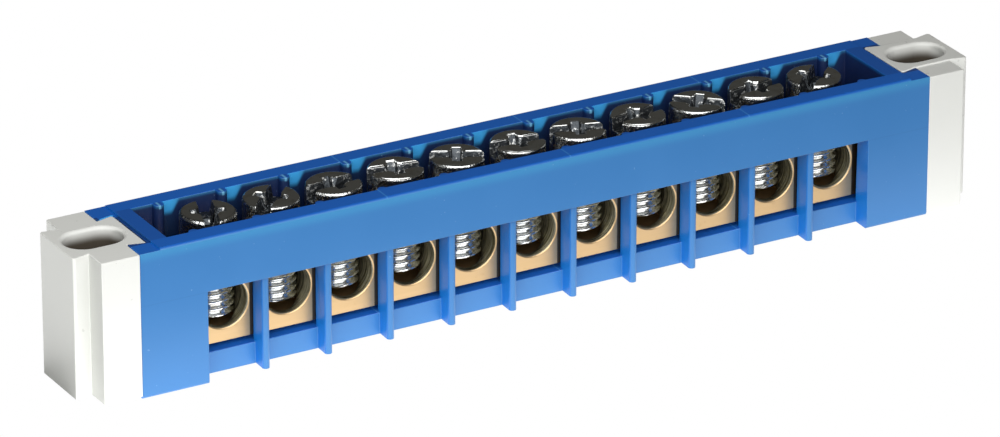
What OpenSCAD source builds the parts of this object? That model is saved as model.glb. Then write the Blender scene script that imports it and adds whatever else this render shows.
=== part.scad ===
// Earth terminal bar: a brass bar with cross bores and clamping screws, held in
// a moulded carrier between two screw-down feet. Millimetres, +Z up, the wire
// entries face -Y, the origin is at the middle of the base.

/* [Terminals] */
// Number of wire entries
terminals = 11; // [3:1:15]
// Distance from one wire entry to the next
pitch = 7; // [6.6:0.1:9]
// Distance from the last wire entry to the end of the carrier
end_margin = 10.4; // [9.6:0.1:14]

/* [Brass bar] */
// Thickness of the bar, front to back
bar_w = 6.5; // [6:0.1:7]
// Height of the bar
bar_h = 9; // [8:0.1:10]
// Gap between each end of the bar and the end wall
bar_play = 0.4; // [0.1:0.1:1]
// Diameter of a wire bore
bore_d = 5.2; // [4:0.1:5.4]
// Height of the wire bores above the bottom of the bar
bore_rise = 4.05; // [3.6:0.05:4.6]
// Chamfer at both mouths of a wire bore
bore_chamfer = 0.15; // [0.05:0.05:0.3]

/* [Carrier] */
// Depth of the carrier, front to back
carrier_d = 12.2; // [11.6:0.1:13]
// Height of the carrier
carrier_h = 15.75; // [14.5:0.05:17]
// Thickness of the floor
floor_t = 2.35; // [1.6:0.05:2.6]
// Thickness of the end walls between the trough and the end face
end_wall = 4; // [3:0.1:4.4]
// Height of the header above the wire entries
header_h = 5.8; // [5:0.05:6.2]
// Radius along the long edges of the carrier
edge_r = 0.35; // [0.1:0.05:0.6]
// How far the sill stands out in front of the bar
sill_ledge = 0.5; // [0.3:0.05:1]
// How far the end jaws lie below the rim
jaw_drop = 0.2; // [0.05:0.05:0.3]
// Length of the lowered jaws
jaw_len = 2.2; // [2.1:0.1:2.6]

/* [Ribs] */
// Thickness of the ribs between the wire entries
rib_t = 0.8; // [0.6:0.1:1.2]
// How far the rounded noses of the ribs lie behind the front face
rib_setback = 0.35; // [0:0.05:0.8]
// Width of the half-round guide ribs inside the trough
guide_w = 1.1; // [0.8:0.1:1.4]
// How far the guide ribs stand out from the front wall
front_guide = 0.4; // [0.2:0.05:0.5]
// How far the guide ribs stand out from the back wall
back_guide = 0.9; // [0.6:0.05:1.1]
// Clearance between the guide ribs and the bar
guide_gap = 0.05; // [0.02:0.01:0.1]
// Height of the rail under the bar
rail_h = 0.6; // [0.3:0.05:0.8]
// Width of the rail under the bar
rail_w = 4; // [3:0.1:5]

/* [Screws] */
// Thread diameter of the clamping screws, an M5 thread
thread_d = 5; // [4:0.1:5]
// Clearance all round between a screw and its tapped hole
thread_gap = 0.05; // [0.02:0.01:0.1]
// How far the tapped holes reach below the wire bores
tap_below = 0.2; // [0.1:0.05:0.4]
// Diameter of a screw head
head_d = 5.75; // [5.4:0.05:6]
// Height of a screw head
head_h = 2.7; // [2:0.1:3.2]
// Radius round the top of a screw head
head_r = 0.45; // [0.3:0.05:0.8]
// Height of the lowest screw head above the rim
head_proud = 0.05; // [0:0.05:0.4]
// Gap between the lowest screw tip and the bottom of its wire bore
tip_gap = 0.95; // [0.6:0.05:1.5]
// Chamfer at a screw tip
tip_chamfer = 0.5; // [0.2:0.05:0.8]
// Width of the driver slot
slot_w = 1.5; // [1:0.1:1.8]
// Depth of the driver slot
slot_depth = 1.4; // [1:0.1:1.6]
// Length of the cross recess
cross_len = 3.8; // [3:0.1:4.2]
// Width of an arm of the cross recess
cross_w = 1.1; // [0.8:0.1:1.4]
// Depth of the cross recess
cross_depth = 2; // [1.7:0.1:2.1]

/* [Feet] */
// Length of a foot along the bar, without its tongues
foot_len = 4.2; // [3.8:0.1:6]
// How far the top of a foot lies below the rim of the carrier
foot_drop = 0.25; // [0:0.05:0.5]
// How far a foot ends above the base of the carrier
foot_base = 0.3; // [0:0.05:0.5]
// Length of a dovetail tongue
tongue_len = 1.9; // [1.6:0.1:2]
// Width of a dovetail tongue at its root
tongue_w = 6.6; // [6.2:0.1:7]
// Flank angle of a dovetail tongue
tongue_angle = 15; // [8:1:16]
// Chamfer at the tips of a dovetail tongue
tongue_chamfer = 0.25; // [0.1:0.05:0.4]
// Clearance between a tongue and its socket
socket_gap = 0.05; // [0.02:0.01:0.1]
// Width of a fixing slot, for an M4 screw
fix_w = 4.2; // [3.4:0.1:4.6]
// Length of a fixing slot
fix_len = 6.2; // [5.4:0.1:6.4]
// Radius round both rims of a fixing slot
fix_rim = 0.4; // [0.2:0.05:0.5]
// Height of the middle of the right foot above its sides
foot_rise = 0.15; // [0.05:0.05:0.3]

/* [Hidden] */
$fn = 64;
overcut = 1;
overlap = 0.2;

carrier_len = (terminals - 1) * pitch + 2 * end_margin;
trough_len = carrier_len - 2 * end_wall;
trough_w = front_guide + back_guide + 2 * guide_gap + bar_w;
window_top = carrier_h - header_h;
windows_len = terminals * pitch - rib_t;
bar_len = trough_len - 2 * bar_play;
bar_y = (front_guide - back_guide) / 2;
sill_y = bar_y - bar_w / 2 - sill_ledge;
bar_bottom = floor_t + rail_h;
bore_z = bar_bottom + bore_rise;
head_top = carrier_h + head_proud;
tip_z = bore_z - bore_d / 2 + tip_gap;
screw_len = head_top - tip_z;
shank_d = thread_d - 2 * thread_gap;
foot_x = carrier_len / 2 + foot_len / 2;
foot_h = carrier_h - foot_drop - foot_base;
tongue_flare = tan(tongue_angle);

// Direction of each screw's slot, in degrees from the length of the bar
screw_turn = [72, 46, 6, -10, -27, -4, -18, 10, -42, 7, 42, 64, 41, 7, 86];
// How much further each screw stands out than the lowest one
screw_lift = [0, 0.12, 0.05, 0.2, 0.1, 0.15, 0.05, 0.18, 0.1, 0.22, 0.08, 0.14, 0.02, 0.2, 0.1];

function terminal_x(i) = (i - (terminals - 1) / 2) * pitch;
function screw_name(i) = str("screw_", i < 9 ? "0" : "", i + 1);

// A rectangle with rounded corners, centred on the origin.
module rounded(size, r) {
    square([size.x - 2 * r, size.y], center = true);
    square([size.x, size.y - 2 * r], center = true);
    for (x = [-1, 1], y = [-1, 1])
        translate([x * (size.x / 2 - r), y * (size.y / 2 - r)]) circle(r);
}

// A strip with round ends, lying along X.
module stadium(length, width) {
    square([length - width, width], center = true);
    for (side = [-1, 1])
        translate([side * (length - width) / 2, 0]) circle(d = width);
}

// A dovetail in plan, leaving the line x = 0 towards +X. A gap grows the
// tongue into the socket that takes it.
module dovetail(gap = 0) {
    root = tongue_w / 2 + gap;
    reach = tongue_len + gap;
    tip = root + reach * tongue_flare;
    c = tongue_chamfer;
    half = [[-overlap, root], [0, root], [reach - c, tip - c * tongue_flare], [reach, tip - c]];
    polygon([each half, each [for (i = [3 : -1 : 0]) [half[i].x, -half[i].y]]]);
}

// The ribs between neighbouring wire entries, from the nose to the bar.
module rib_plan() {
    nose_y = -carrier_d / 2 + rib_setback + rib_t / 2;
    inner_y = -trough_w / 2 + front_guide;
    translate([0, nose_y]) circle(d = rib_t);
    translate([-rib_t / 2, nose_y]) square([rib_t, inner_y - nose_y]);
}

// A half-round guide rib on a wall that faces +Y at y = 0.
module guide_plan(proud) {
    centre_y = proud - guide_w / 2;
    intersection() {
        union() {
            translate([0, centre_y]) circle(d = guide_w);
            if (centre_y > 0)
                translate([-guide_w / 2, -overlap]) square([guide_w, centre_y + overlap]);
        }
        translate([-guide_w, -overlap]) square([2 * guide_w, proud + 2 * overlap]);
    }
}

module carrier_block() {
    translate([-carrier_len / 2, 0, carrier_h / 2]) rotate([90, 0, 90])
        linear_extrude(carrier_len) rounded([carrier_d, carrier_h], edge_r);
}

module trough() {
    translate([-trough_len / 2, -trough_w / 2, floor_t])
        cube([trough_len, trough_w, carrier_h]);
}

// The recess in front of the bar, open to the front and below.
module windows() {
    front = carrier_d / 2 + overcut;
    translate([-windows_len / 2, -front, -overcut])
        cube([windows_len, front + sill_y, overcut + window_top]);
    translate([-windows_len / 2, -front, floor_t])
        cube([windows_len, front - trough_w / 2 + overlap, window_top - floor_t]);
}

module socket(side) {
    translate([side * carrier_len / 2, 0, -overcut]) mirror([side > 0 ? 1 : 0, 0, 0])
        linear_extrude(carrier_h + 2 * overcut) dovetail(socket_gap);
}

module lowered_jaw(side) {
    translate([side * (carrier_len / 2 - jaw_len / 2 + overcut / 2), 0, carrier_h - jaw_drop + overcut / 2])
        cube([jaw_len + overcut, carrier_d + overcut, overcut], center = true);
}

module carrier() {
    color([0.16, 0.38, 0.72]) {
        difference() {
            carrier_block();
            trough();
            windows();
            for (side = [-1, 1]) {
                socket(side);
                lowered_jaw(side);
            }
        }
        for (i = [1 : terminals - 1])
            translate([terminal_x(i) - pitch / 2, 0, 0])
                linear_extrude(window_top + overlap) rib_plan();
        for (i = [0 : terminals]) translate([terminal_x(i) - pitch / 2, 0, 0]) {
            translate([0, trough_w / 2, floor_t - overlap]) mirror([0, 1, 0])
                linear_extrude(carrier_h - floor_t + overlap) guide_plan(back_guide);
            translate([0, -trough_w / 2, window_top - overlap])
                linear_extrude(header_h + overlap) guide_plan(front_guide);
        }
        translate([-bar_len / 2, bar_y - rail_w / 2, floor_t - overlap])
            cube([bar_len, rail_w, rail_h + overlap]);
    }
}

// A wire bore through the bar with a chamfer at both mouths.
module wire_bore() {
    rotate([90, 0, 0]) {
        cylinder(h = bar_w + 2 * overcut, d = bore_d, center = true);
        for (side = [-1, 1]) mirror([0, 0, side > 0 ? 0 : 1])
            translate([0, 0, bar_w / 2 - bore_chamfer])
                cylinder(h = 2 * bore_chamfer, d1 = bore_d, d2 = bore_d + 4 * bore_chamfer);
    }
}

module terminal_bar() {
    color([0.80, 0.66, 0.40]) difference() {
        translate([-bar_len / 2, bar_y - bar_w / 2, bar_bottom])
            cube([bar_len, bar_w, bar_h]);
        for (i = [0 : terminals - 1]) translate([terminal_x(i), bar_y, bore_z]) {
            wire_bore();
            translate([0, 0, -bore_d / 2 - tap_below]) cylinder(h = bar_h, d = thread_d);
        }
    }
}

// A slotted cheese head with a rounded top edge, seated on z = 0.
module screw_head() {
    rotate_extrude() {
        square([head_d / 2, head_h - head_r]);
        square([head_d / 2 - head_r, head_h]);
        translate([head_d / 2 - head_r, head_h - head_r]) circle(head_r);
    }
}

module driver_recess() {
    translate([0, 0, head_h - slot_depth / 2 + overcut / 2])
        cube([head_d + overcut, slot_w, slot_depth + overcut], center = true);
    for (turn = [0, 90]) rotate(turn)
        translate([0, 0, head_h - cross_depth / 2 + overcut / 2])
            cube([cross_len, cross_w, cross_depth + overcut], center = true);
}

module screw(i) {
    shank_len = screw_len - head_h;
    translate([terminal_x(i), bar_y, tip_z + screw_lift[i]]) color([0.72, 0.74, 0.76]) {
        cylinder(h = tip_chamfer, d1 = shank_d - 2 * tip_chamfer, d2 = shank_d);
        translate([0, 0, tip_chamfer]) cylinder(h = shank_len - tip_chamfer + overlap, d = shank_d);
        translate([0, 0, shank_len]) rotate(screw_turn[i]) difference() {
            screw_head();
            driver_recess();
        }
    }
}

// The rounded rim round the top of a fixing slot whose top is at z = 0.
module slot_rim() {
    straight = fix_len - fix_w;
    module flare() {
        translate([fix_w / 2 - overlap, -fix_rim]) difference() {
            square([fix_rim + overlap, fix_rim + overcut]);
            translate([fix_rim + overlap, 0]) circle(fix_rim);
        }
    }
    for (side = [-1, 1]) translate([side * straight / 2, 0, 0]) rotate_extrude() flare();
    for (side = [0, 1]) mirror([0, side, 0])
        translate([-straight / 2, 0, 0]) rotate([90, 0, 90]) linear_extrude(straight) flare();
}

// A foot seen from its carrier: +X points away from the carrier.
module foot(rise) {
    top = foot_h + rise;
    color([0.72, 0.72, 0.70]) translate([0, 0, foot_base]) difference() {
        union() {
            translate([-foot_len / 2, -carrier_d / 2, 0]) cube([foot_len, carrier_d, foot_h]);
            if (rise > 0)
                translate([-foot_len / 2, -tongue_w / 2, 0]) cube([foot_len, tongue_w, top]);
            for (side = [-1, 1]) mirror([side > 0 ? 0 : 1, 0, 0])
                translate([foot_len / 2, 0, 0]) linear_extrude(top) dovetail();
        }
        translate([0, 0, -overcut]) linear_extrude(foot_h + 2 * overcut)
            stadium(fix_len, fix_w);
        translate([0, 0, top]) slot_rim();
        mirror([0, 0, 1]) slot_rim();
    }
}

module foot_left() { translate([-foot_x, 0, 0]) mirror([1, 0, 0]) foot(0); }
module foot_right() { translate([foot_x, 0, 0]) foot(foot_rise); }

carrier();
terminal_bar();
foot_left();
foot_right();
for (i = [0 : terminals - 1])
    screw(i);
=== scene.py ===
# %% [markdown]
# # Earth terminal bar
# A brass bar with eleven cross bores sits in a blue moulded carrier. A steel
# clamping screw closes each bore, and a grey foot slides into each end of the
# carrier on a dovetail. The construction comes packed from CAD as a fixed
# frame. This file gives it its looks: soft moulded edges, real screw threads
# and driver recesses, machined brass, and the light of a small studio.
#
# Everything is in metres, in the frame of the CAD: +X along the bar, the wire
# entries face -Y, +Z is up and the carrier stands on z = 0.

# %% Load the frame
import math

import bmesh
import bpy
from mathutils import Matrix, Vector


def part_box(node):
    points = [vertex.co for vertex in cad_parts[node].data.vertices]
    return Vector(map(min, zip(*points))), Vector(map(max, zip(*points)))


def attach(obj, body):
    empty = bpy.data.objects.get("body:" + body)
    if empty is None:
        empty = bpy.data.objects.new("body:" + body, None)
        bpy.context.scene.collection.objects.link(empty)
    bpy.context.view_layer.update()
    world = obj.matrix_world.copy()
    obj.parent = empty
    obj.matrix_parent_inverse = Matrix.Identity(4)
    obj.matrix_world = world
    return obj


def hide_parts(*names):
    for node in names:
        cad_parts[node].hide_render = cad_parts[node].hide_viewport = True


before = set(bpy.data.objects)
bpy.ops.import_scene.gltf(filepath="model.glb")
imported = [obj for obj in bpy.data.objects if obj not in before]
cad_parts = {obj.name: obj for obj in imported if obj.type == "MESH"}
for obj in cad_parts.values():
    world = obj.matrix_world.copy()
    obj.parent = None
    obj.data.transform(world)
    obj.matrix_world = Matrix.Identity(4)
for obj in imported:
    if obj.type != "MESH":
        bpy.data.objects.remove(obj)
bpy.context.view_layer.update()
MM = 0.001


def mm(*lengths):
    """Lengths that are given in millimetres."""
    return tuple(length * MM for length in lengths)


# %% [markdown]
# ## Camera
# A long lens far away keeps the long edges almost parallel, as in a catalogue
# picture. The camera is placed by its direction from a point that it looks at,
# which is easier to read and to change than a bare position and rotation.

# %% Aim a long lens from the front left and above
AIM = Vector((-2.2, -0.55, 7.85)) * MM
AZIMUTH, ELEVATION = math.radians(-29.417), math.radians(23.931)
DISTANCE, LENS = 0.7116, 254.1
SENSOR = 36


def direction(azimuth, elevation):
    """A unit vector from the object towards a place in the studio."""
    flat = math.cos(elevation)
    return Vector((math.sin(azimuth) * flat, -math.cos(azimuth) * flat, math.sin(elevation)))


camera_data = bpy.data.cameras.new("catalogue_camera")
camera_data.lens, camera_data.sensor_width = LENS, SENSOR
camera_data.clip_start, camera_data.clip_end = 0.05, 30
camera = bpy.data.objects.new("catalogue_camera", camera_data)
bpy.context.collection.objects.link(camera)
camera.location = AIM + DISTANCE * direction(AZIMUTH, ELEVATION)
camera.rotation_euler = (AIM - camera.location).to_track_quat("-Z", "Y").to_euler()
bpy.context.scene.camera = camera
print("camera at", [round(c, 3) for c in camera.location])

# %% [markdown]
# ## Shader maths as Python
# A node tree is quicker to read as a formula. `Wire` wraps one output socket,
# so that `1 - mask` or `noise * 0.2` adds a Math node by itself. `Finish`
# starts a material, and its `node` method makes any other node: its type, its
# settings first, and then the values or wires of its inputs.


# %% A socket that can be used in an expression
class Wire:
    def __init__(self, finish, socket):
        self.finish, self.socket = finish, socket

    def maths(self, operation, first, second):
        return self.finish.node("Math", {"operation": operation}, {0: first, 1: second})

    def __add__(self, other):
        return self.maths("ADD", self, other)

    def __sub__(self, other):
        return self.maths("SUBTRACT", self, other)

    def __rsub__(self, other):
        return self.maths("SUBTRACT", other, self)

    def __mul__(self, other):
        return self.maths("MULTIPLY", self, other)

    __radd__, __rmul__ = __add__, __mul__

    def size(self):
        """The value without its sign."""
        return self.maths("ABSOLUTE", self, 0)

    def past(self, start, spacing):
        """How far a place is past the last mark of a row that goes through start."""
        return self.maths("FLOORED_MODULO", self - start, spacing)

    def above(self, low, high):
        """0 below low, 1 above high, and a smooth step between them."""
        settings = {"interpolation_type": "SMOOTHSTEP"}
        return self.finish.node("MapRange", settings, {0: self, 1: low, 2: high})

    def below(self, low, high):
        """1 below low, 0 above high, and a smooth step between them."""
        return 1 - self.above(low, high)

    def between(self, rise, fall):
        """1 between two smooth steps, a rise and a fall, each with its two ends."""
        return self.above(*rise) * self.below(*fall)

    def line(self, place, half_width):
        """1 on a thin line where the value is that of place."""
        return (self - place).size().below(0.4 * half_width, half_width)


# %% A material in the making
class Finish:
    def __init__(self, name):
        self.material = bpy.data.materials.new(name)
        self.material.use_nodes = True
        self.tree = self.material.node_tree
        self.tree.nodes.clear()

    def node(self, kind, settings=None, inputs=None, output=0):
        made = self.tree.nodes.new("ShaderNode" + kind)
        for key, value in (settings or {}).items():
            setattr(made, key, value)
        for key, value in (inputs or {}).items():
            if isinstance(value, Wire):
                self.tree.links.new(value.socket, made.inputs[key])
            else:
                made.inputs[key].default_value = value
        return Wire(self, made.outputs[output]) if made.outputs else None

    def coordinates(self, output="Object"):
        """The three separate wires of a place, or of the Normal."""
        place = self.node("TexCoord", output=output)
        return [self.node("SeparateXYZ", {}, {0: place}, axis) for axis in range(3)]

    def noise(self, scale, detail=2, roughness=0.5, stretch=(1, 1, 1), offset=(0, 0, 0)):
        place = self.node("TexCoord", output="Object")
        place = self.node("Mapping", {}, {"Vector": place, "Scale": stretch, "Location": offset})
        return self.node("TexNoise", {}, {
            "Vector": place, "Scale": scale, "Detail": detail, "Roughness": roughness})

    def tint(self, share, colour, other):
        """A mix of two colours: share 0 gives the first and 1 the second."""
        settings = {"data_type": "RGBA", "blend_type": "MIX"}
        values = [(*c, 1) if isinstance(c, tuple) else c for c in (colour, other)]
        return self.node("Mix", settings, {0: share, 6: values[0], 7: values[1]}, 2)

    def layers(self, colour, *coats):
        """Lays coats over a colour, each a share and its own colour."""
        for share, coat in coats:
            colour = self.tint(share, colour, coat)
        return colour

    def bump(self, height):
        """A relief whose height is in metres."""
        return self.node("Bump", {}, {"Height": height, "Distance": 1.0, "Strength": 1.0})

    def surface(self, **sockets):
        names = {key.replace("_", " "): value for key, value in sockets.items()}
        shader = self.node("BsdfPrincipled", {}, names)
        self.node("OutputMaterial", {}, {"Surface": shader})
        return self.material


# %% [markdown]
# ## Soft edges on the moulded parts
# A moulding tool has no sharp corners, and the thin bright lines along a real
# edge come from its small radius. The solids already have the right shape, so
# the visible carrier, feet and bar start as merged copies of them. Triangles
# that share a plane are dissolved into one face, and only then does the bevel
# see the true edges and round each of them by the same small radius.
#
# Shading is smooth over the rounded edges and stops at the edges that stay
# sharp. They are marked before the mesh is made, because the modifier that
# keeps flat faces flat works with these marks.

# %% Rounded copies of the solids
SMOOTH_BELOW = math.radians(35)


def merged_copy(node):
    shape = bmesh.new()
    shape.from_mesh(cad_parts[node].data)
    bmesh.ops.remove_doubles(shape, verts=shape.verts, dist=0.002 * MM)
    bmesh.ops.dissolve_limit(
        shape, angle_limit=math.radians(0.6), verts=shape.verts, edges=shape.edges)
    return shape


def round_edges(shape, radius, sharper_than=28, segments=3, keep=lambda edge: True):
    sharp = [edge for edge in shape.edges
             if edge.is_manifold and edge.calc_face_angle() > math.radians(sharper_than)
             and keep(edge)]
    bmesh.ops.bevel(
        shape, geom=sharp, offset=radius, offset_type="OFFSET", segments=segments,
        profile=0.5, affect="EDGES", clamp_overlap=False, material=-1)
    return len(sharp)


def finish_piece(shape, name, material, body, nodes):
    """Makes a bmesh a piece of the object that stands for CAD nodes."""
    shape.normal_update()
    for face in shape.faces:
        face.smooth = True
    for edge in shape.edges:
        edge.smooth = edge.is_manifold and edge.calc_face_angle() < SMOOTH_BELOW
    mesh = bpy.data.meshes.new(name)
    shape.to_mesh(mesh)
    shape.free()
    mesh.materials.append(material)
    piece = bpy.data.objects.new(name, mesh)
    bpy.context.collection.objects.link(piece)
    weighted = piece.modifiers.new("flat_faces_stay_flat", "WEIGHTED_NORMAL")
    weighted.keep_sharp = True
    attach(piece, body)
    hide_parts(*nodes)
    triangles = sum(len(face.vertices) - 2 for face in mesh.polygons)
    print(name, "rides on", body, "with", triangles, "triangles")


# %% [markdown]
# ## Finishes
# Four finishes cover the object. Each one starts from a plain base and gets the
# small things that the real surface shows: clouds in the moulded colour, dust,
# the rings that a drill leaves in brass, and the patchy shine of plated steel.
# Object coordinates are metres, so a noise of scale 200 has patches about 5 mm
# across.
#
# Some of these things belong to one place, and a mask puts them there. Other
# masks paint light and shade into the colour: painted light and shadow on the
# blue carrier, painted shading by the way a face looks, a painted glint on each
# rib crest, and painted shade in the fixing slots, the bores, beside each rib on
# the bar and in the screw recesses. A mask is a wire that is 1 in its place and
# 0 elsewhere, made from a height, a side or the distance to a row. The screws
# and the ribs both stand in rows with the pitch of the wire entries, so one mask
# serves a whole row.

# %% The rows that the masks follow
PITCH, FIRST_RIB, FIRST_SCREW = mm(7, -38.5, -35)
WINDOW_TOP, WINDOWS_END = mm(9.95, 38.1)
RIM_LINE, RIM_LINE_SPACING = mm(2.85, 20.9)
FIXING_SLOT = 47.5 * MM


# %% Blue moulded plastic: lines from the tool, painted light and shade in the trough, and painted shading by facing
def blue_moulding():
    finish = Finish("blue_moulding")
    cloud = finish.noise(140, detail=2)
    grain = finish.noise(6000, detail=3)
    speck = finish.noise(3200, detail=1, offset=(3, 1, 2)).above(0.79, 0.82)
    across, depth, height = finish.coordinates()
    facing = finish.coordinates("Normal")
    # upward and sideways pick faces by the way they look; their tints below are painted shading,
    # one blue for the tops and another for the sides
    upward, sideways = facing[2].above(0.2, 0.9), facing[0].size().above(0.7, 0.97)
    in_trough = depth.size().below(*mm(3.96, 3.99))
    # A painted pool of light on the trough's back wall beside each rib
    lit = across.past(FIRST_RIB, PITCH).between(mm(0.3, 0.6), mm(1.5, 2.6))
    lit = lit * depth.above(*mm(3, 3.4))
    # Painted shadow of the screw heads on the trough walls, in arches that reach lower where the
    # painted light patch is
    shade_height = height + lit * 1.25 * MM
    shade = in_trough * shade_height.below(*mm(15.25, 16.0)) * height.above(*mm(9, 10))
    # A painted glint along the top of each guide rib's crest
    painted_crest_glint = across.past(FIRST_SCREW, PITCH).line(*mm(3.42, 0.17)) * in_trough
    painted_crest_glint = painted_crest_glint * depth.above(*mm(2.6, 2.8)) * height.above(*mm(15.3, 15.5))
    half = RIM_LINE_SPACING / 2
    rim_line = across.past(RIM_LINE - half, RIM_LINE_SPACING).line(half, 0.09 * MM)
    rim_line = rim_line * upward * across.size().below(*mm(30, 31))
    witness = height.line(WINDOW_TOP, 0.07 * MM)
    witness = witness * across.size().above(WINDOWS_END, WINDOWS_END + 0.1 * MM)
    # Painted light: the upper part of the carrier is made lighter
    painted_upper_light = height.above(*mm(14.3, 15.4))
    colour = finish.tint(cloud, (0.034, 0.196, 0.505), (0.040, 0.216, 0.545))
    # Among these layers, the upper light, the trough light patch, the side and top tints, the
    # trough shade and the crest glint are painted light and shade
    colour = finish.layers(
        colour,
        (painted_upper_light, (0.044, 0.275, 0.580)),
        (in_trough * lit, (0.05, 0.40, 0.85)),
        (witness * 0.18, (0.02, 0.12, 0.36)),
        (sideways, (0.006, 0.185, 0.62)),
        (upward, (0.010, 0.132, 0.570)),
        (shade * 0.94, (0.006, 0.009, 0.060)),
        (painted_crest_glint * 0.5, (0.25, 0.70, 1.0)),
        (rim_line * 0.45, (0.10, 0.42, 0.85)),
        (speck * 0.35, (0.35, 0.60, 0.85)))
    relief = finish.bump(cloud * 0.02 * MM + grain * 0.0012 * MM + speck * 0.01 * MM)
    return finish.surface(
        Base_Color=colour, Roughness=0.34 + 0.12 * cloud + 0.2 * speck, Normal=relief,
        IOR=1.6, Specular_IOR_Level=0.5)


# %% Light grey moulded plastic: painted shade in the fixing slots and on the ends
def grey_moulding():
    finish = Finish("grey_moulding")
    cloud = finish.noise(160, detail=2)
    grain = finish.noise(6000, detail=3)
    speck = finish.noise(1300, detail=1).above(0.74, 0.78)
    across, depth, height = finish.coordinates()
    # Painted shade: the inside of each fixing slot is made dark
    painted_slot_shade = (across.size() - FIXING_SLOT).size().below(*mm(3.15, 3.25))
    painted_slot_shade = painted_slot_shade * depth.size().below(*mm(2.13, 2.2)) * height.below(*mm(13.9, 15.35))
    # Painted shading: faces that look along the bar, the ends, are made darker
    sideways = finish.coordinates("Normal")[0].size().above(0.7, 0.95)
    colour = finish.tint(cloud, (0.84, 0.85, 0.81), (0.88, 0.885, 0.85))
    colour = finish.layers(
        colour,
        (speck * 0.3, (0.45, 0.45, 0.42)),
        (painted_slot_shade, (0.085, 0.070, 0.052)),
        (sideways * (1 - painted_slot_shade), (0.62, 0.63, 0.60)))
    relief = finish.bump(cloud * 0.02 * MM + grain * 0.0015 * MM)
    return finish.surface(
        Base_Color=colour, Roughness=0.42 + 0.1 * cloud, Normal=relief,
        IOR=1.5, Specular_IOR_Level=0.5)


# %% Machined brass: drawn outside, ringed and painted darker in the bores, and a painted shadow where it meets a rib
def machined_brass():
    finish = Finish("brass")
    across, depth, height = finish.coordinates()
    in_bore = height.between(mm(4.2, 4.3), mm(9.7, 9.8))
    in_bore = in_bore * depth.between(mm(-3.44, -3.40), mm(2.90, 2.94))
    from_screw = (across.past(FIRST_RIB, PITCH) - PITCH / 2).size()
    # Painted shadow: a thin dark line on the front face beside each rib, where the rib stands in
    # front of the bar
    rib_contact_shadow = from_screw.above(*mm(2.70, 2.82)) * depth.below(*mm(-3.45, -3.4))
    rings = finish.noise(3600, detail=4, roughness=0.7, stretch=(0.03, 1, 0.03))
    drawn = finish.noise(2600, detail=3, roughness=0.6, stretch=(0.02, 0.6, 1))
    cloud = finish.noise(300, detail=2)
    pit = finish.noise(2400, detail=1).above(0.70, 0.75)
    # The drill rings are real; the dark end of this tint is painted shade deep in the bores
    bore_rings_and_shade = finish.tint(rings.above(0.35, 0.68), (0.16, 0.135, 0.07), (0.80, 0.74, 0.54))
    colour = finish.tint(cloud, (0.73, 0.495, 0.255), (0.79, 0.56, 0.31))
    colour = finish.layers(
        colour,
        (drawn.above(0.35, 0.7) * 0.25, (0.66, 0.46, 0.22)),
        (in_bore, bore_rings_and_shade),
        (rib_contact_shadow * 0.9, (0.03, 0.02, 0.02)))
    relief = finish.bump(
        rings * in_bore * 0.03 * MM + drawn * 0.0035 * MM + pit * 0.004 * MM)
    return finish.surface(
        Base_Color=colour, Metallic=1.0, Normal=relief,
        Roughness=0.34 + 0.12 * cloud + 0.1 * pit + 0.02 * in_bore)


# %% Zinc plated steel: wavy from the tumbling, dull and ragged in the punched recess, with painted shade there
def zinc_plate():
    finish = Finish("zinc_plate")
    across, depth, height = finish.coordinates()
    from_screw = across.past(FIRST_RIB, PITCH) - PITCH / 2
    radius_squared = from_screw * from_screw + depth * depth
    punched = height.between(mm(13.2, 13.5), mm(15.7, 15.79))
    recess_rough_and_shaded = punched * radius_squared.below(*[radius ** 2 for radius in mm(2.80, 2.86)])
    cloud = finish.noise(700, detail=3)
    wave = finish.noise(1100, detail=1, offset=(1, 4, 2))
    ding = finish.noise(2600, detail=2, roughness=0.6)
    ragged = finish.noise(2200, detail=3, roughness=0.65, offset=(2, 7, 1))
    stain = finish.noise(1100, detail=2, offset=(5, 2, 1)).above(0.45, 0.75)
    colour = finish.tint(cloud, (0.68, 0.69, 0.68), (0.80, 0.82, 0.82))
    # In the recess the patches between the ragged glints are painted dark, painted shade in the
    # punched hollow; the extra roughness there is real
    colour = finish.layers(
        colour,
        (stain * 0.5, (0.52, 0.49, 0.43)),
        (recess_rough_and_shaded * ragged.below(0.56, 0.62), (0.095, 0.105, 0.115)))
    relief = finish.bump(
        ding * 0.014 * MM + wave * 0.05 * MM + ragged * punched * 0.11 * MM)
    return finish.surface(
        Base_Color=colour, Metallic=1.0, Normal=relief,
        Roughness=0.12 + 0.12 * cloud + 0.28 * recess_rough_and_shaded)


# %% Make the four finishes
blue, grey, brass, zinc = blue_moulding(), grey_moulding(), machined_brass(), zinc_plate()
print("finishes", [material.name for material in (blue, grey, brass, zinc)])

# %% [markdown]
# ## Carrier
# The carrier is one moulding: a trough with a header over the wire entries,
# thin ribs between them and a dovetail socket at each end. Its copy from the
# solid only needs soft edges. A bevel wider than an edge is long would fold
# over itself, so the shortest edges stay as they are.

# %% Carrier
SHORTEST_EDGE, SOCKETS_START, SOCKETS_LOW = mm(0.08, 43.1, 15.5)


def can_be_rounded(edge):
    """Leaves the fine facets of the rim, and the low step beside each foot."""
    on_step = all(
        abs(vert.co.x) > SOCKETS_START and vert.co.z > SOCKETS_LOW for vert in edge.verts)
    return edge.calc_length() > SHORTEST_EDGE and not on_step


carrier = merged_copy("carrier")
rounded = round_edges(carrier, radius=0.09 * MM, keep=can_be_rounded)
print("carrier edges rounded", rounded)
finish_piece(carrier, "moulded_carrier", blue, "base", ["carrier"])

# %% [markdown]
# ## Terminal bar
# The bar is drawn brass with drilled bores. The drill leaves a burnished edge at
# each mouth, which the small bevel shows as a bright line.

# %% Terminal bar
bar = merged_copy("terminal_bar")
print("bar edges rounded", round_edges(bar, radius=0.06 * MM, segments=2))
finish_piece(bar, "brass_bar", brass, "base", ["terminal_bar"])

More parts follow.
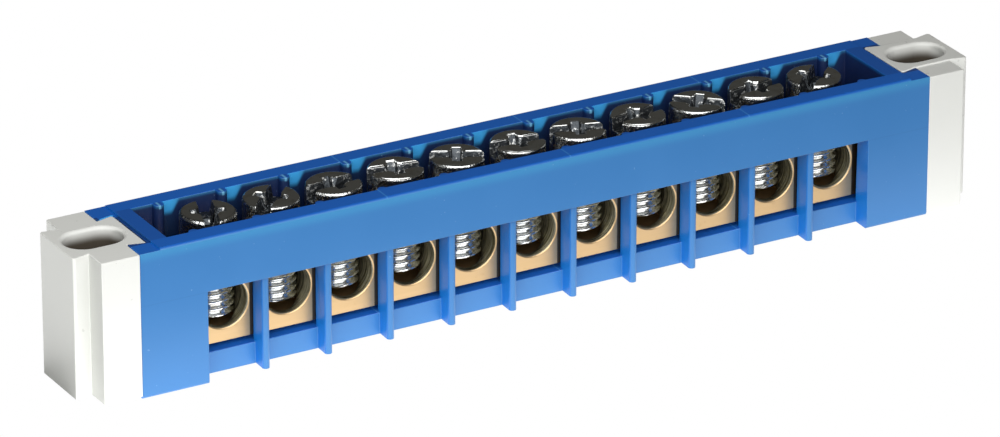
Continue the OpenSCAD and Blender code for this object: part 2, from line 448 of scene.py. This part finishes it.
# %% [markdown]
# ## Feet
# A foot is a short grey block with a long slot for a fixing screw and a dovetail
# on both sides. The right one has a slightly higher middle.

# %% Feet
for side in ("left", "right"):
    foot = merged_copy("foot_" + side)
    print("foot edges rounded", round_edges(foot, radius=0.12 * MM))
    finish_piece(foot, "grey_foot_" + side, grey, "base", ["foot_" + side])

# %% [markdown]
# ## Clamping screws
# The eleven screws are alike, so one is made and copied. Its head is turned: a
# half outline is spun round the axis. The driver recess is a cutter of four
# simple solids taken away from it, which is how the forging punch is shaped: a
# slot with drafted walls, two narrower wings across each other and a small cone
# in the middle. The thread is one tooth spun while it climbs, so that
# neighbouring turns meet.

# %% Sizes of a screw
HEAD_R, HEAD_H, HEAD_EDGE, HEAD_CHAMFER = mm(2.875, 2.7, 0.45, 0.15)
HEAD_EDGE_STEPS, HEAD_STEPS = 4, 64
SLOT_LENGTH, SLOT_TOP, SLOT_FLOOR, SLOT_DEPTH = mm(7, 1.6, 1.2, 1.4)
WING_LENGTH, WING_W, WING_DEPTH = mm(3.6, 1.0, 2.0)
WING_FLOOR_LENGTH, WING_FLOOR_W = mm(1.8, 0.7)
CONE_TOP_R, CONE_FLOOR_R, CONE_DEPTH = mm(1.4, 0.5625, 2.0)
CONE_STEPS = 24
CUTTER_ABOVE = 0.5 * MM
THREAD_R, THREAD_DEPTH, THREAD_PITCH = mm(2.45, 0.42, 0.8)
THREAD_FULLNESS = 0.8  # below 1 the crests are broad and the roots narrow
TOOTH_STEPS, TURN_STEPS = 10, 36
TIP_CHAMFER = 0.2 * MM
SHANK_IN_HEAD, SHANK_EXTRA = mm(0.05, 0.2)


# %% A closed mesh from a half outline
def turned(outline, steps):
    """Spins (radius, height) points that start and end on the axis."""
    shape = bmesh.new()
    corners = [shape.verts.new((radius, 0, height)) for radius, height in outline]
    for first, second in zip(corners, corners[1:]):
        shape.edges.new((first, second))
    bmesh.ops.spin(
        shape, geom=shape.verts[:] + shape.edges[:], axis=(0, 0, 1), cent=(0, 0, 0),
        angle=math.tau, steps=steps, use_merge=True)
    bmesh.ops.remove_doubles(shape, verts=shape.verts, dist=0.001 * MM)
    bmesh.ops.recalc_face_normals(shape, faces=shape.faces)
    return shape


# %% A block that narrows downwards
def drafted_block(length, width, floor_length, floor_width, depth):
    """A cutter with this length and width at z = 0, that starts a little above."""
    shape = bmesh.new()
    bmesh.ops.create_cube(shape, size=1)
    grow = 1 + CUTTER_ABOVE / depth
    top_x = floor_length + (length - floor_length) * grow
    top_y = floor_width + (width - floor_width) * grow
    for vert in shape.verts:
        if vert.co.z > 0:
            vert.co = (vert.co.x * top_x, vert.co.y * top_y, CUTTER_ABOVE)
        else:
            vert.co = (vert.co.x * floor_length, vert.co.y * floor_width, -depth)
    bmesh.ops.recalc_face_normals(shape, faces=shape.faces)
    return shape


# %% Cut one closed mesh out of another
def cut_away(shape, cutter):
    """Takes cutter out of shape with an exact Boolean modifier."""
    objects = []
    for part in (shape, cutter):
        mesh = bpy.data.meshes.new("cutting")
        part.to_mesh(mesh)
        part.free()
        objects.append(bpy.data.objects.new("cutting", mesh))
        bpy.context.collection.objects.link(objects[-1])
    boolean = objects[0].modifiers.new("cut", "BOOLEAN")
    boolean.operation, boolean.solver, boolean.object = "DIFFERENCE", "EXACT", objects[1]
    seen = objects[0].evaluated_get(bpy.context.evaluated_depsgraph_get())
    result = bmesh.new()
    result.from_mesh(seen.to_mesh())
    for made in objects:
        bpy.data.objects.remove(made)
    return result


# %% The head with its recess, hanging down from z = 0
def screw_head():
    outline = [(0, -HEAD_H), (HEAD_R - HEAD_CHAMFER, -HEAD_H), (HEAD_R, HEAD_CHAMFER - HEAD_H)]
    for step in range(HEAD_EDGE_STEPS + 1):
        turn = math.radians(90 * step / HEAD_EDGE_STEPS)
        outline.append((HEAD_R - HEAD_EDGE * (1 - math.cos(turn)),
                        -HEAD_EDGE * (1 - math.sin(turn))))
    outline.append((0, 0))
    head = turned(outline, HEAD_STEPS)
    head = cut_away(head, drafted_block(
        SLOT_LENGTH, SLOT_TOP, SLOT_LENGTH, SLOT_FLOOR, SLOT_DEPTH))
    for turn in (0, 90):
        wing = drafted_block(
            WING_LENGTH, WING_W, WING_FLOOR_LENGTH, WING_FLOOR_W, WING_DEPTH)
        bmesh.ops.rotate(
            wing, verts=wing.verts, cent=(0, 0, 0),
            matrix=Matrix.Rotation(math.radians(turn), 3, "Z"))
        head = cut_away(head, wing)
    head = cut_away(head, turned([
        (0, -CONE_DEPTH), (CONE_FLOOR_R, -CONE_DEPTH), (CONE_TOP_R, CUTTER_ABOVE),
        (0, CUTTER_ABOVE)], CONE_STEPS))
    bmesh.ops.remove_doubles(head, verts=head.verts, dist=0.004 * MM)
    bmesh.ops.dissolve_limit(
        head, angle_limit=math.radians(0.5), verts=head.verts, edges=head.edges)
    round_edges(head, radius=0.1 * MM, sharper_than=25, segments=2)
    return head


# %% The threaded shank, hanging down from z = 0
def threaded_shank(length):
    """A tooth spun upwards, cut off flat at both ends and chamfered at the tip."""
    root = THREAD_R - THREAD_DEPTH
    tooth = []
    for step in range(TOOTH_STEPS + 1):
        wave = 0.5 - 0.5 * math.cos(math.tau * step / TOOTH_STEPS)
        rise = wave ** THREAD_FULLNESS
        tooth.append((root + THREAD_DEPTH * rise, THREAD_PITCH * step / TOOTH_STEPS))
    turns = math.ceil(length / THREAD_PITCH) + 2
    shape = bmesh.new()
    start = -length - THREAD_PITCH
    corners = [shape.verts.new((radius, 0, start + height)) for radius, height in tooth]
    for first, second in zip(corners, corners[1:]):
        shape.edges.new((first, second))
    bmesh.ops.spin(
        shape, geom=shape.verts[:] + shape.edges[:], axis=(0, 0, 1), cent=(0, 0, 0),
        angle=math.tau * turns, steps=TURN_STEPS * turns,
        dvec=(0, 0, THREAD_PITCH / TURN_STEPS))
    bmesh.ops.remove_doubles(shape, verts=shape.verts, dist=0.002 * MM)
    for height, outer in ((-length, -1), (0, 1)):
        bmesh.ops.bisect_plane(
            shape, geom=shape.verts[:] + shape.edges[:] + shape.faces[:], dist=1e-7,
            plane_co=(0, 0, height), plane_no=(0, 0, outer), clear_outer=True)
    rims = [edge for edge in shape.edges if edge.is_boundary]
    bmesh.ops.holes_fill(shape, edges=rims, sides=0)
    for vert in shape.verts:
        limit = THREAD_R - TIP_CHAMFER + (vert.co.z + length)
        radius = math.hypot(vert.co.x, vert.co.y)
        if radius > limit:
            vert.co.x, vert.co.y = vert.co.x * limit / radius, vert.co.y * limit / radius
    bmesh.ops.recalc_face_normals(shape, faces=shape.faces)
    return shape


# %% Eleven screws, each turned its own way
SLOT_TURN = [72, 46, 6, -10, -27, -4, -18, 10, -42, 7, 42]
master_head = screw_head()
low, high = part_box("screw_01")
master_shank = threaded_shank(high[2] - low[2] - HEAD_H + SHANK_IN_HEAD + SHANK_EXTRA)
for number, turn in enumerate(SLOT_TURN, start=1):
    name = f"screw_{number:02d}"
    low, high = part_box(name)
    middle = Vector(((low[0] + high[0]) / 2, (low[1] + high[1]) / 2, high[2]))
    screw = bmesh.new()
    for part, drop in ((master_shank, HEAD_H - SHANK_IN_HEAD), (master_head, 0)):
        mesh = bpy.data.meshes.new("part")
        part.to_mesh(mesh)
        mesh.transform(Matrix.Translation((0, 0, -drop)))
        screw.from_mesh(mesh)
        bpy.data.meshes.remove(mesh)
    bmesh.ops.rotate(
        screw, verts=screw.verts, cent=(0, 0, 0),
        matrix=Matrix.Rotation(math.radians(turn), 3, "Z"))
    bmesh.ops.translate(screw, verts=screw.verts, vec=middle)
    finish_piece(screw, f"clamping_{name}", zinc, f"{name}_body", [name])
master_head.free()
master_shank.free()

# %% [markdown]
# ## Studio
# The object stands in a white studio. One wide soft light in front gives the
# bright front faces. Nothing bright stands behind, so that flat metal mirrors
# darkness. The pale floor glows near the object, as a lit table does, and opens
# the lower half of its sides. The white surroundings are shown to the camera
# but give hardly any light.


# %% Lights
def soft_light(name, azimuth, elevation, distance, width, height, radiance):
    """A rectangle that looks at the object with an even radiance."""
    data = bpy.data.lights.new(name, "AREA")
    data.shape, data.size, data.size_y = "RECTANGLE", width, height
    data.energy = radiance * math.pi * width * height
    light = bpy.data.objects.new(name, data)
    bpy.context.collection.objects.link(light)
    light.location = direction(math.radians(azimuth), math.radians(elevation)) * distance
    light.rotation_euler = (-light.location).to_track_quat("-Z", "Y").to_euler()
    print(name, "at", [round(c, 2) for c in light.location])


soft_light(
    "key_light", azimuth=-25, elevation=38, distance=0.24, width=0.4, height=0.23,
    radiance=2.8)

# %% Floor
FLOOR_SIZE, FLOOR_Z = 1.5, -0.2 * MM


def pale_floor():
    """A pale floor that glows in front of the object and behind it."""
    finish = Finish("pale_floor")
    across, depth, _ = finish.coordinates()
    front = depth.between(mm(-26, -14), mm(-4.5, -2.5))
    front = front * (1 - 0.35 * across.above(*mm(-60, 60)))
    behind = depth.between(mm(5, 9), mm(50, 90))
    return finish.surface(
        Base_Color=(0.35, 0.35, 0.35, 1), Roughness=0.9, Emission_Color=(1, 1, 1, 1),
        Emission_Strength=1.4 * front + 1.7 * behind)


shape = bmesh.new()
bmesh.ops.create_grid(shape, x_segments=1, y_segments=1, size=FLOOR_SIZE)
bmesh.ops.translate(shape, verts=shape.verts, vec=(0, 0, FLOOR_Z))
mesh = bpy.data.meshes.new("floor")
shape.to_mesh(mesh)
shape.free()
mesh.materials.append(pale_floor())
floor = bpy.data.objects.new("floor", mesh)
bpy.context.collection.objects.link(floor)
floor.visible_camera = False

# %% White surroundings that give hardly any light
LIGHT_COLOUR, SHOWN_COLOUR = (0.055, 0.053, 0.047, 1), (1, 1, 1, 1)
world = bpy.data.worlds.new("studio")
world.use_nodes = True
nodes, links = world.node_tree.nodes, world.node_tree.links
ray, shown = nodes.new("ShaderNodeLightPath"), nodes.new("ShaderNodeMix")
shown.data_type = "RGBA"
shown.inputs[6].default_value, shown.inputs[7].default_value = LIGHT_COLOUR, SHOWN_COLOUR
links.new(ray.outputs["Is Camera Ray"], shown.inputs[0])
links.new(shown.outputs[2], nodes["Background"].inputs["Color"])
bpy.context.scene.world = world
bpy.context.scene.view_settings.view_transform = "Standard"
print("stage", floor.name, world.name)
